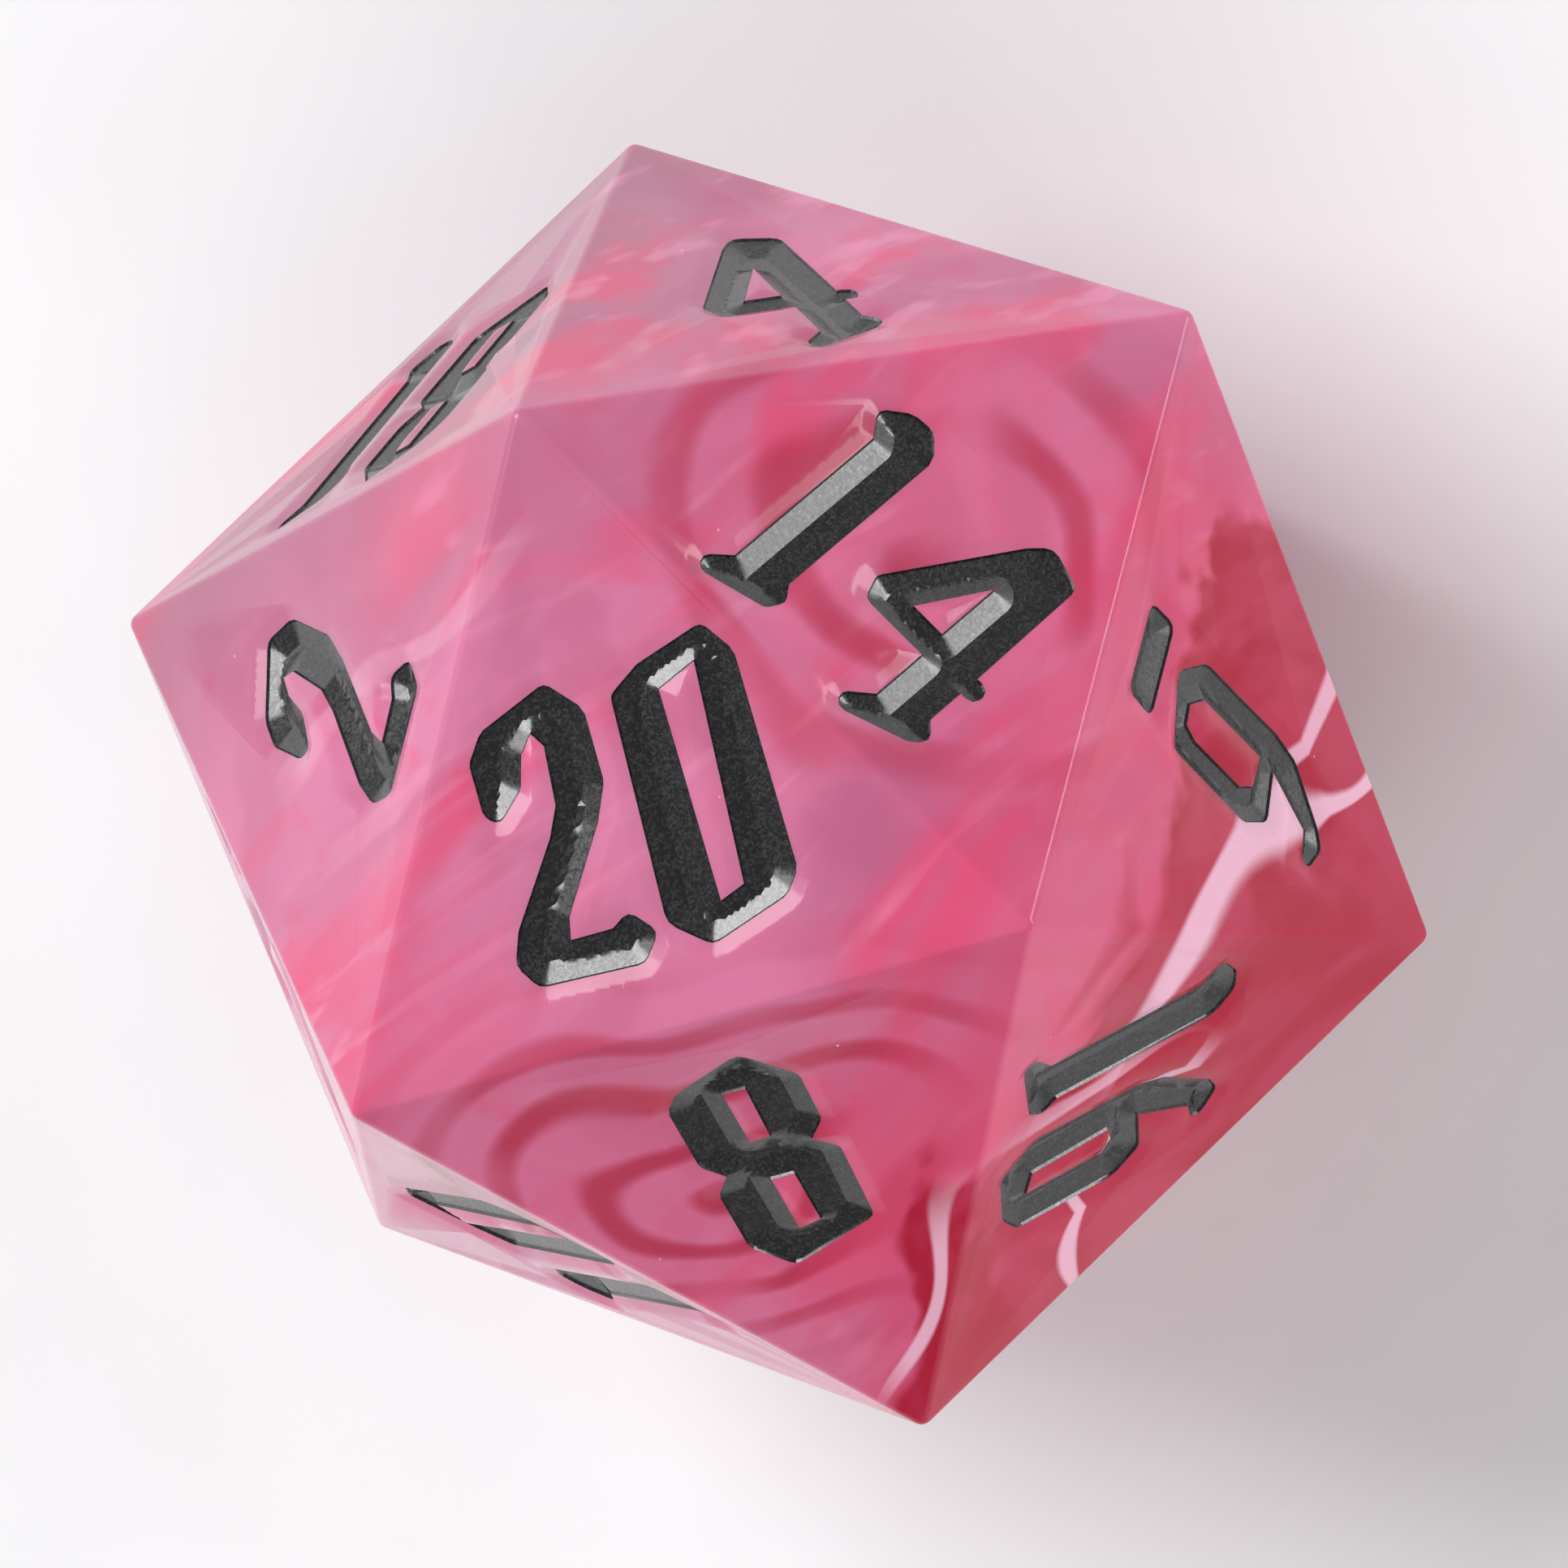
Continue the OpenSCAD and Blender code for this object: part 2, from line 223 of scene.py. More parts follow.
@dataclass
class EngravedFace:
    """One numbered face of the merged body, laid flat to work on.

    Attributes:
        mesh: The body's mesh, open for editing.
        out: Direction that the face looks in.
        origin: Middle of the face.
        profile: How the surface runs across a rim.
    """

    mesh: bmesh.types.BMesh
    out: Vector
    origin: Vector
    profile: Profile
    flat: list[bmesh.types.BMFace] = field(init=False)
    rims: list[bmesh.types.BMEdge] = field(init=False)
    border: list[bmesh.types.BMEdge] = field(init=False)

    TOUCHING = 0.001 * MM  # a corner this near to the plane is part of the flat face
    EXACT = 0.999  # share of a distance from the rim that still counts as that distance
    TURNS = 32  # directions tried round each end of a rim's edge

    def __post_init__(self) -> None:
        """Sets up the face's own axes and finds its flat part and its rims."""
        self.right = self.out.orthogonal().normalized()
        self.up = self.out.cross(self.right)
        self.flat = [f for f in self.mesh.faces if all(self.depth(v.co) < self.TOUCHING for v in f.verts)]
        flat = set(self.flat)
        edges = {e for f in flat for e in f.edges if sum(g in flat for g in e.link_faces) == 1}
        loops = sorted(self.joined(edges), key=lambda loop: sum(e.calc_length() for e in loop))
        self.border = loops[-1]
        self.rims = [edge for loop in loops[:-1] for edge in loop]

    def depth(self, point: Vector) -> float:
        """Distance of a point from the face's plane."""
        return abs((point - self.origin).dot(self.out))

    def laid_flat(self, point: Vector) -> tuple[float, float]:
        """A point's place on the face, in millimetres along its two axes."""
        offset = (point - self.origin) / MM
        return offset.dot(self.right), offset.dot(self.up)

    def raised(self, place: np.ndarray, height: float) -> Vector:
        """The point at a place on the face, in millimetres, and a height above it in metres."""
        return self.origin + (self.right * place[0] + self.up * place[1]) * MM + self.out * height

    @staticmethod
    def joined(edges: set[bmesh.types.BMEdge]) -> list[list[bmesh.types.BMEdge]]:
        """Sorts edges into closed loops.

        Args:
            edges: Edges that make one or more loops.

        Returns:
            The edges of each loop.
        """
        left, loops = set(edges), []
        while left:
            loop, reach = [], [left.pop()]
            while reach:
                edge = reach.pop()
                loop.append(edge)
                near = {e for v in edge.verts for e in v.link_edges if e in left}
                left -= near
                reach.extend(near)
            loops.append(loop)
        return loops

    def recess(self) -> list[bmesh.types.BMFace]:
        """Collects the walls and floors of the engraving.

        Returns:
            Every face reached from the rims without crossing onto the flat part.
        """
        flat, found = set(self.flat), set()
        reach = [f for e in self.rims for f in e.link_faces if f not in flat]
        while reach:
            face = reach.pop()
            if face in found:
                continue
            found.add(face)
            reach.extend(g for e in face.edges for g in e.link_faces if g not in flat and g not in found)
        return list(found)

    def segments(self, edges: list[bmesh.types.BMEdge]) -> np.ndarray:
        """The two ends of each edge on the laid-out face, as an array of shape (edges, 2, 2)."""
        return np.array([[self.laid_flat(v.co) for v in e.verts] for e in edges])

    @staticmethod
    def distances(points: np.ndarray, segments: np.ndarray) -> np.ndarray:
        """Measures how far points are from the nearest of some segments.

        Args:
            points: Points, as (count, 2).
            segments: Segments, as (count, 2, 2).

        Returns:
            One distance for each point.
        """
        start, run = segments[:, 0], segments[:, 1] - segments[:, 0]
        offset = points[:, None, :] - start[None]
        share = np.clip((offset * run).sum(-1) / (run * run).sum(-1), 0, 1)
        return np.linalg.norm(offset - share[..., None] * run, axis=-1).min(1)

    @staticmethod
    def enclosed(points: np.ndarray, segments: np.ndarray) -> np.ndarray:
        """Finds the points that lie inside an odd number of loops.

        Args:
            points: Points, as (count, 2).
            segments: Segments of closed loops, as (count, 2, 2).

        Returns:
            True for each point that is inside.
        """
        x, y = points[:, 0, None], points[:, 1, None]
        (x1, y1), (x2, y2) = segments[:, 0].T, segments[:, 1].T
        spans = (y1 > y) != (y2 > y)
        with np.errstate(divide="ignore", invalid="ignore"):
            crossing = x1 + (y - y1) * (x2 - x1) / (y2 - y1)
        return (spans & (x < crossing)).sum(1) % 2 == 1

    def lattice(self, rims: np.ndarray) -> np.ndarray:
        """Lays out the points that the finished surface needs beside its outlines.

        Args:
            rims: The rims' segments.

        Returns:
            Points inside the strokes and in the dip round them, as (count, 2) in millimetres.
        """
        step = self.profile.spacing / MM
        dip = self.profile.dip_width / MM
        low, high = rims.min((0, 1)) - dip, rims.max((0, 1)) + dip
        columns = np.arange(low[0], high[0], step)
        rows = np.arange(low[1], high[1], step * math.sqrt(3) / 2)
        grid = np.array([(x + (row % 2) * step / 2, y) for row, y in enumerate(rows) for x in columns])
        away = self.distances(grid, rims)
        stroke = self.enclosed(grid, rims)
        keep = (away > step / 2) & (stroke | (away < dip))
        lines = []
        for part in Part:
            inside = part is Part.PAINT
            for width in self.profile.contours(part):
                lines.append(self.contour(rims, width / MM, inside))
                keep &= (stroke != inside) | (abs(away - width / MM) > step * self.profile.clearance)
        return np.concatenate([grid[keep], *lines])

    def contour(self, rims: np.ndarray, width: float, inside: bool) -> np.ndarray:
        """Finds points that are exactly one distance from the rims.

        Args:
            rims: The rims' segments.
            width: The distance, in millimetres.
            inside: True for the side that holds the paint.

        Returns:
            Points along that line, as (count, 2).
        """
        step = self.profile.spacing / MM / 2
        angles = np.linspace(0, 2 * math.pi, self.TURNS + 1)[:-1]
        around = [np.array((math.cos(angle), math.sin(angle))) * width for angle in angles]
        spots = []
        for a, b in rims:
            run = b - a
            length = np.linalg.norm(run)
            side = np.array((-run[1], run[0])) / length * width
            for share in np.linspace(0, 1, max(2, round(length / step) + 1)):
                spots += [a + run * share + side, a + run * share - side]
            spots += [a + way for way in around]
        points = np.array(spots)
        exact = self.distances(points, rims) > width * self.EXACT
        points = points[exact & (self.enclosed(points, rims) == inside)]
        return self.thinned(points, min(step, width) * 0.45)

    @staticmethod
    def thinned(points: np.ndarray, apart: float) -> np.ndarray:
        """Drops points that lie almost on another.

        Args:
            points: Points, as (count, 2).
            apart: Size of the cell that may hold only one point.

        Returns:
            The points that are left.
        """
        if len(points) == 0:
            return points
        cells = np.round(points / apart).astype(int)
        first = np.unique(cells, axis=0, return_index=True)[1]
        return points[np.sort(first)]

    def surfaces(self) -> dict[Part, list[list[Vector | bmesh.types.BMVert]]]:
        """Fills the face again, with its dip and its pool of paint.

        Returns:
            Triangles of each part. A corner is a vertex of the body where one is there already,
            and otherwise a new point.
        """
        borders, rims = self.segments(self.border), self.segments(self.rims)
        outlines = self.border + self.rims
        ends = list({v for e in outlines for v in e.verts})
        number = {v: i for i, v in enumerate(ends)}
        places = np.array([self.laid_flat(v.co) for v in ends])
        points = np.concatenate([places, self.lattice(rims)])
        edges = [(number[e.verts[0]], number[e.verts[1]]) for e in outlines]
        laid, _, triangles, origins, _, _ = delaunay_2d_cdt([Vector(p) for p in points], edges, [], 0, 1e-5)
        laid = np.array(laid)
        middles = laid[np.array(triangles)].mean(1)
        resin = self.enclosed(middles, np.concatenate([borders, rims]))
        away = self.distances(laid, rims)
        heights = {part: self.profile.height(part, away * MM) for part in Part}
        known = {i: ends[k] for i, old in enumerate(origins) for k in old if k < len(ends)}
        filled = {part: [] for part in Part}
        fresh = {}
        for triangle, is_resin in zip(triangles, resin):
            part = Part.RESIN if is_resin else Part.PAINT
            corners = []
            for i in triangle:
                if i not in known and (part, i) not in fresh:
                    fresh[part, i] = self.raised(laid[i], heights[part][i])
                corners.append(known[i] if i in known else fresh[part, i])
            filled[part].append(self.turned_out(corners))
        return filled

    def turned_out(self, corners: list[Vector | bmesh.types.BMVert]) -> list[Vector | bmesh.types.BMVert]:
        """Orders a triangle's corners so that it faces outwards."""
        a, b, c = (getattr(corner, "co", corner) for corner in corners)
        return corners if (b - a).cross(c - a).dot(self.out) > 0 else corners[::-1]


# ---------------------------------------------------------------- shaders


class Sheet:
    """A node tree being wired, with short calls for the nodes that the finishes use."""

    def __init__(self, tree: bpy.types.NodeTree) -> None:
        """Starts on a tree that is empty or holds only its ends.

        Args:
            tree: The tree to wire.
        """
        self.tree = tree

    def node(self, kind: str, inputs: dict | None = None, **settings) -> bpy.types.Node:
        """Adds a node.

        Args:
            kind: The node's type.
            inputs: Socket name or number to a value or to the output that feeds it.
            **settings: The node's own properties.

        Returns:
            The new node.
        """
        node = self.tree.nodes.new(kind)
        for name, value in settings.items():
            setattr(node, name, value)
        for name, value in (inputs or {}).items():
            self.feed(node.inputs[name], value)
        return node

    def feed(self, socket: bpy.types.NodeSocket, value: object) -> None:
        """Links an output to a socket, or sets the socket's value."""
        if isinstance(value, bpy.types.NodeSocket):
            self.tree.links.new(value, socket)
        else:
            socket.default_value = value

    def maths(self, operation: str, *values: object, clamp: bool = False) -> bpy.types.NodeSocket:
        """Adds a Math node on two or three values and gives its output."""
        inputs = dict(enumerate(values))
        return self.node("ShaderNodeMath", inputs, operation=operation, use_clamp=clamp).outputs[0]

    def vector(self, operation: str, *values: object, output: str = "Vector") -> bpy.types.NodeSocket:
        """Adds a Vector Math node and gives one of its outputs."""
        node = self.node("ShaderNodeVectorMath", dict(enumerate(values)), operation=operation)
        return node.outputs[output]

    def scaled(self, vector: object, factor: object) -> bpy.types.NodeSocket:
        """Multiplies a vector by a number, given or fed."""
        return self.node("ShaderNodeVectorMath", {0: vector, "Scale": factor}, operation="SCALE").outputs[0]

    def mix(self, factor: object, a: object, b: object) -> bpy.types.NodeSocket:
        """Mixes two colours."""
        node = self.node("ShaderNodeMix", {"Factor": factor}, data_type="RGBA")
        first, second = (socket for socket in node.inputs if socket.type == "RGBA")
        self.feed(first, a)
        self.feed(second, b)
        return next(socket for socket in node.outputs if socket.type == "RGBA")

    def group(self, name: str, inputs: dict) -> bpy.types.Node:
        """Places one of the shared node groups."""
        return self.node("ShaderNodeGroup", inputs, node_tree=bpy.data.node_groups[name])

    def ramp(self, value: object, low: object, high: object) -> bpy.types.NodeSocket:
        """Turns a value into a smooth mask that is 0 at low and 1 at high."""
        inputs = {"Value": value, "From Min": low, "From Max": high}
        return self.node("ShaderNodeMapRange", inputs, interpolation_type="SMOOTHSTEP").outputs["Result"]

    def noise(self, vector: object, scale: float, detail: float = 2.0, warp: float = 0.0,
              output: str = "Fac") -> bpy.types.NodeSocket:
        """Adds a noise pattern.

        Args:
            vector: Where the pattern is read.
            scale: How many blobs fit in one unit.
            detail: Octaves of finer noise.
            warp: How far the pattern is twisted by itself.
            output: "Fac" for a value, or "Color" for three of them.

        Returns:
            The noise, about 0.5 in the middle.
        """
        inputs = {"Vector": vector, "Scale": scale, "Detail": detail, "Distortion": warp}
        return self.node("ShaderNodeTexNoise", inputs).outputs[output]


@dataclass
class Group:
    """A shader node group that is being wired.

    Attributes:
        sheet: Its nodes.
        given: Its inputs, by name.
        result: Its outputs, by name.
    """

    sheet: Sheet
    given: dict[str, bpy.types.NodeSocket]
    result: dict[str, bpy.types.NodeSocket]


def new_group(name: str, inputs: dict[str, float | Triple], outputs: tuple[str, ...]) -> Group:
    """Starts a shader node group.

    Args:
        name: The group's name.
        inputs: The value of each input where nothing feeds it, a number or a vector.
        outputs: The names of its outputs, which are numbers.

    Returns:
        The group, with its two ends in place.
    """
    tree = bpy.data.node_groups.new(name, "ShaderNodeTree")
    for socket, value in inputs.items():
        kind = "NodeSocketVector" if isinstance(value, tuple) else "NodeSocketFloat"
        tree.interface.new_socket(socket, in_out="INPUT", socket_type=kind).default_value = value
    for socket in outputs:
        tree.interface.new_socket(socket, in_out="OUTPUT", socket_type="NodeSocketFloat")
    start, end = tree.nodes.new("NodeGroupInput"), tree.nodes.new("NodeGroupOutput")
    return Group(Sheet(tree), {s: start.outputs[s] for s in inputs}, {s: end.inputs[s] for s in outputs})


ORIGIN: Triple = (0.0, 0.0, 0.0)
EVEN: Triple = (1.0, 1.0, 1.0)


def streaks_group() -> bpy.types.NodeTree:
    """Builds the group that draws streaks of pigment stirred into the resin.

    Returns:
        A group that puts out a mask of drawn-out streaks along one direction.
    """
    group = new_group("stirred_streaks", {"Vector": ORIGIN, "Turn": ORIGIN, "Stretch": EVEN, "Swirl": 0.5,
                                          "Low": 0.4, "High": 0.6}, ("Mask",))
    sheet, given = group.sheet, group.given
    drift = sheet.noise(given["Vector"], 1.0, 0.5, output="Color")
    centred = sheet.vector("SUBTRACT", drift, (0.5, 0.5, 0.5))
    warped = sheet.vector("ADD", given["Vector"], sheet.scaled(centred, given["Swirl"]))
    turned = sheet.node("ShaderNodeMapping", {"Vector": warped, "Rotation": given["Turn"]})
    drawn = sheet.vector("MULTIPLY", turned.outputs[0], given["Stretch"])
    mask = sheet.ramp(sheet.noise(drawn, 1.0, 2.0), given["Low"], given["High"])
    sheet.feed(group.result["Mask"], mask)
    return sheet.tree


def eddy_group() -> bpy.types.NodeTree:
    """Builds the group that draws rings of pigment curled round one point.

    Returns:
        A group that puts out a mask of rings, which fade with distance from their middle, and a mask
        of the space that they fill.
    """
    group = new_group("curled_eddy", {"Vector": ORIGIN, "Middle": ORIGIN, "Flatten": EVEN, "Rings": 12.0,
                                      "Reach": 0.4}, ("Mask", "Near"))
    sheet, given = group.sheet, group.given
    drift = sheet.noise(given["Vector"], 2.0, 1.0, output="Color")
    drift = sheet.scaled(sheet.vector("SUBTRACT", drift, (0.5, 0.5, 0.5)), 0.30)
    offset = sheet.vector("SUBTRACT", given["Vector"], given["Middle"])
    offset = sheet.vector("ADD", sheet.vector("MULTIPLY", offset, given["Flatten"]), drift)
    away = sheet.vector("LENGTH", offset, output="Value")
    wave = sheet.maths("SINE", sheet.maths("MULTIPLY", away, given["Rings"]))
    near = sheet.maths("SUBTRACT", 1.0, sheet.maths("DIVIDE", away, given["Reach"]), clamp=True)
    patchy = sheet.ramp(sheet.noise(given["Vector"], 2.2, 1.0), 0.30, 0.52)
    rings = sheet.maths("MULTIPLY", sheet.ramp(wave, -0.2, 1.0), patchy)
    sheet.feed(group.result["Mask"], sheet.maths("MULTIPLY", rings, sheet.ramp(near, 0.0, 0.5)))
    sheet.feed(group.result["Near"], sheet.ramp(near, 0.0, 0.7))
    return sheet.tree


def ribbon_group() -> bpy.types.NodeTree:
    """Builds the group that draws a thin folded sheet of pale pigment.

    Returns:
        A group that puts out a mask of where the sheet meets the surface.
    """
    group = new_group("pale_ribbon", {"Vector": ORIGIN, "Across": ORIGIN, "Place": 0.0, "Width": 0.04,
                                      "Fold": 0.2, "Middle": ORIGIN, "Reach": 0.5}, ("Mask",))
    sheet, given = group.sheet, group.given
    drift = sheet.maths("SUBTRACT", sheet.noise(given["Vector"], 1.9, 0.0), 0.5)
    along = sheet.vector("DOT_PRODUCT", given["Vector"], given["Across"], output="Value")
    shifted = sheet.maths("MULTIPLY_ADD", drift, given["Fold"], along)
    off = sheet.maths("ABSOLUTE", sheet.maths("SUBTRACT", shifted, given["Place"]))
    thick = sheet.maths("MULTIPLY_ADD", sheet.noise(given["Vector"], 3.2, 0.0), 2.4, -0.5)
    uneven = sheet.maths("MULTIPLY", given["Width"], sheet.maths("MAXIMUM", thick, 0.05))
    line = sheet.maths("SUBTRACT", 1.0, sheet.maths("DIVIDE", off, uneven), clamp=True)
    distance = sheet.vector("DISTANCE", given["Vector"], given["Middle"], output="Value")
    near = sheet.maths("SUBTRACT", 1.0, sheet.maths("DIVIDE", distance, given["Reach"]), clamp=True)
    mask = sheet.maths("MULTIPLY", sheet.ramp(line, 0.0, 0.5), sheet.ramp(near, 0.0, 0.3))
    sheet.feed(group.result["Mask"], mask)
    return sheet.tree


def flakes_group() -> bpy.types.NodeTree:
    """Builds the group that scatters fine flakes, each with its own brightness.

    Returns:
        A group that puts out a mask of flakes, a grey that differs from flake to flake, and a mask of
        small separate grains.
    """
    group = new_group("fine_flakes", {"Vector": ORIGIN, "Flakes per mm": 20.0, "Share": 0.3, "Size": 0.3},
                      ("Mask", "Grey", "Dot"))
    sheet, given = group.sheet, group.given
    cells = sheet.node("ShaderNodeTexVoronoi",
                       {"Vector": sheet.scaled(given["Vector"], 1 / MM), "Scale": given["Flakes per mm"]},
                       voronoi_dimensions="3D", feature="F1")
    split = sheet.node("ShaderNodeSeparateColor", {"Color": cells.outputs["Color"]})
    limit = sheet.maths("SUBTRACT", 1.0, given["Share"])
    mask = sheet.node("ShaderNodeMapRange", {"Value": split.outputs[0], "From Min": limit, "From Max": 1.0})
    close = sheet.maths("LESS_THAN", cells.outputs["Distance"], given["Size"])
    chosen = sheet.maths("GREATER_THAN", split.outputs[0], limit)
    sheet.feed(group.result["Mask"], mask.outputs["Result"])
    sheet.feed(group.result["Grey"], split.outputs[1])
    sheet.feed(group.result["Dot"], sheet.maths("MULTIPLY", close, chosen))
    return sheet.tree


def radians(degrees: Triple) -> Triple:
    """Turns three angles from degrees to radians."""
    return tuple(math.radians(angle) for angle in degrees)


def new_material(name: str) -> tuple[bpy.types.Material, Sheet, bpy.types.Node]:
    """Starts a material with a Principled shader.

    Args:
        name: The material's name.

    Returns:
        The material, its sheet and its shader node.
    """
    material = bpy.data.materials.new(name)
    material.use_nodes = True
    material.node_tree.nodes.clear()
    sheet = Sheet(material.node_tree)
    shader = sheet.node("ShaderNodeBsdfPrincipled")
    sheet.node("ShaderNodeOutputMaterial", {"Surface": shader.outputs[0]})
    return material, sheet, shader


# ---------------------------------------------------------------- finishes


ROSE: Colour = (0.70, 0.075, 0.175, 1)
CRIMSON: Colour = (0.42, 0.008, 0.035, 1)
MILK: Colour = (0.86, 0.50, 0.64, 1)
PALE_PINK: Colour = (0.78, 0.30, 0.46, 1)
DEEP_MAUVE: Colour = (0.40, 0.085, 0.19, 1)


class Pigment(ABC):
    """A pigment that was stirred into the resin."""

    @abstractmethod
    def add(self, sheet: Sheet, spot: bpy.types.NodeSocket, colour: object) -> object:
        """Adds the pigment to the resin.

        Args:
            sheet: The material's sheet.
            spot: Place in the die, in reaches from its middle.
            colour: The colour so far.

        Returns:
            The colour with the pigment in it.
        """


@dataclass(frozen=True)
class Streaks(Pigment):
    """One set of streaks that the stirring drew out.

    Attributes:
        turn: Turn of the streaks, in degrees about each axis.
        stretch: How fine they are along each turned axis.
        swirl: How far they bend.
        low: Value of the pattern where a streak begins.
        high: Value where it is full.
        colour: The pigment.
        strength: How much of the pigment there is.
    """

    turn: Triple
    stretch: Triple
    swirl: float
    low: float
    high: float
    colour: Colour
    strength: float

    def add(self, sheet: Sheet, spot: bpy.types.NodeSocket, colour: object) -> object:
        """Adds the streaks where a slow drift brought them."""
        group = sheet.group("stirred_streaks", {
            "Vector": spot, "Turn": radians(self.turn), "Stretch": self.stretch, "Swirl": self.swirl,
            "Low": self.low, "High": self.high})
        here = sheet.ramp(sheet.noise(spot, 1.1, 1.0), 0.36, 0.56)
        share = sheet.maths("MULTIPLY", here, self.strength)
        amount = sheet.maths("MULTIPLY", group.outputs["Mask"], share)
        return sheet.mix(amount, colour, self.colour)


@dataclass(frozen=True)
class Eddy(Pigment):
    """A place where the pigment curled into rings.

    Attributes:
        middle: Its middle, in reaches from the middle of the die.
        flatten: How much it is squeezed along each axis.
        rings: How close its rings are.
        reach: Its radius.
        strength: How much pigment its rings hold.
        blush: How much rose lies under them.
    """

    middle: Triple
    flatten: Triple
    rings: float
    reach: float
    strength: float
    blush: float = 0.32

    def add(self, sheet: Sheet, spot: bpy.types.NodeSocket, colour: object) -> object:
        """Adds the rings, on a blush of rose."""
        group = sheet.group("curled_eddy", {
            "Vector": spot, "Middle": self.middle, "Flatten": self.flatten, "Rings": self.rings,
            "Reach": self.reach})
        rose = sheet.mix(sheet.maths("MULTIPLY", group.outputs["Near"], self.blush), colour, ROSE)
        return sheet.mix(sheet.maths("MULTIPLY", group.outputs["Mask"], self.strength), rose, CRIMSON)


@dataclass(frozen=True)
class RedFlow(Pigment):
    """The crimson that fills one side, with a sharp front and feathered streaks.

    Attributes:
        towards: Direction that the flow fills.
        front: Where its front begins and where it is full, along that direction.
        blush: Where the rose that runs ahead of it begins and where it is full.
    """

    towards: Triple = (0.75, -0.62, -0.05)
    front: tuple[float, float] = (0.70, 0.78)
    blush: tuple[float, float] = (0.25, 0.80)

    def add(self, sheet: Sheet, spot: bpy.types.NodeSocket, colour: object) -> object:
        """Adds the rose, and the crimson over it."""
        side = sheet.vector("DOT_PRODUCT", spot, self.towards, output="Value")
        drift = sheet.maths("SUBTRACT", sheet.noise(spot, 1.7, 2.0, 0.5), 0.5)
        feather = sheet.group("stirred_streaks", {
            "Vector": spot, "Turn": (0.2, 0.1, math.radians(-30)), "Stretch": (0.8, 7.0, 5.0),
            "Swirl": 0.8, "Low": 0.36, "High": 0.66}).outputs["Mask"]
        fine = sheet.group("stirred_streaks", {
            "Vector": spot, "Turn": (0.5, -0.3, math.radians(-50)), "Stretch": (0.9, 9.0, 5.0),
            "Swirl": 1.1, "Low": 0.34, "High": 0.64}).outputs["Mask"]
        depth = sheet.maths("MULTIPLY_ADD", drift, 0.55, side)
        depth = sheet.maths("MULTIPLY_ADD", sheet.maths("SUBTRACT", feather, 0.5), 0.10, depth)
        rose = sheet.maths("MULTIPLY", sheet.ramp(depth, *self.blush), 0.75)
        amount = sheet.maths("MULTIPLY", sheet.ramp(depth, *self.front),
                             sheet.maths("MULTIPLY_ADD", fine, 0.30, 0.68))
        return sheet.mix(amount, sheet.mix(rose, colour, ROSE), CRIMSON)


@dataclass(frozen=True)
class Ribbon(Pigment):
    """A thin folded sheet of pale pigment.

    Attributes:
        across: Direction across the sheet.
        place: Where the sheet lies along it.
        width: Its thickness.
        fold: How far it folds.
        middle: Middle of the part of the die that it runs through.
        reach: Radius of that part.
        strength: How much pigment it holds.
    """

    across: Triple
    place: float
    width: float
    fold: float
    middle: Triple
    reach: float
    strength: float

    def add(self, sheet: Sheet, spot: bpy.types.NodeSocket, colour: object) -> object:
        """Adds the line where the sheet meets the surface."""
        group = sheet.group("pale_ribbon", {
            "Vector": spot, "Across": self.across, "Place": self.place, "Width": self.width,
            "Fold": self.fold, "Middle": self.middle, "Reach": self.reach})
        return sheet.mix(sheet.maths("MULTIPLY", group.outputs["Mask"], self.strength), colour, MILK)


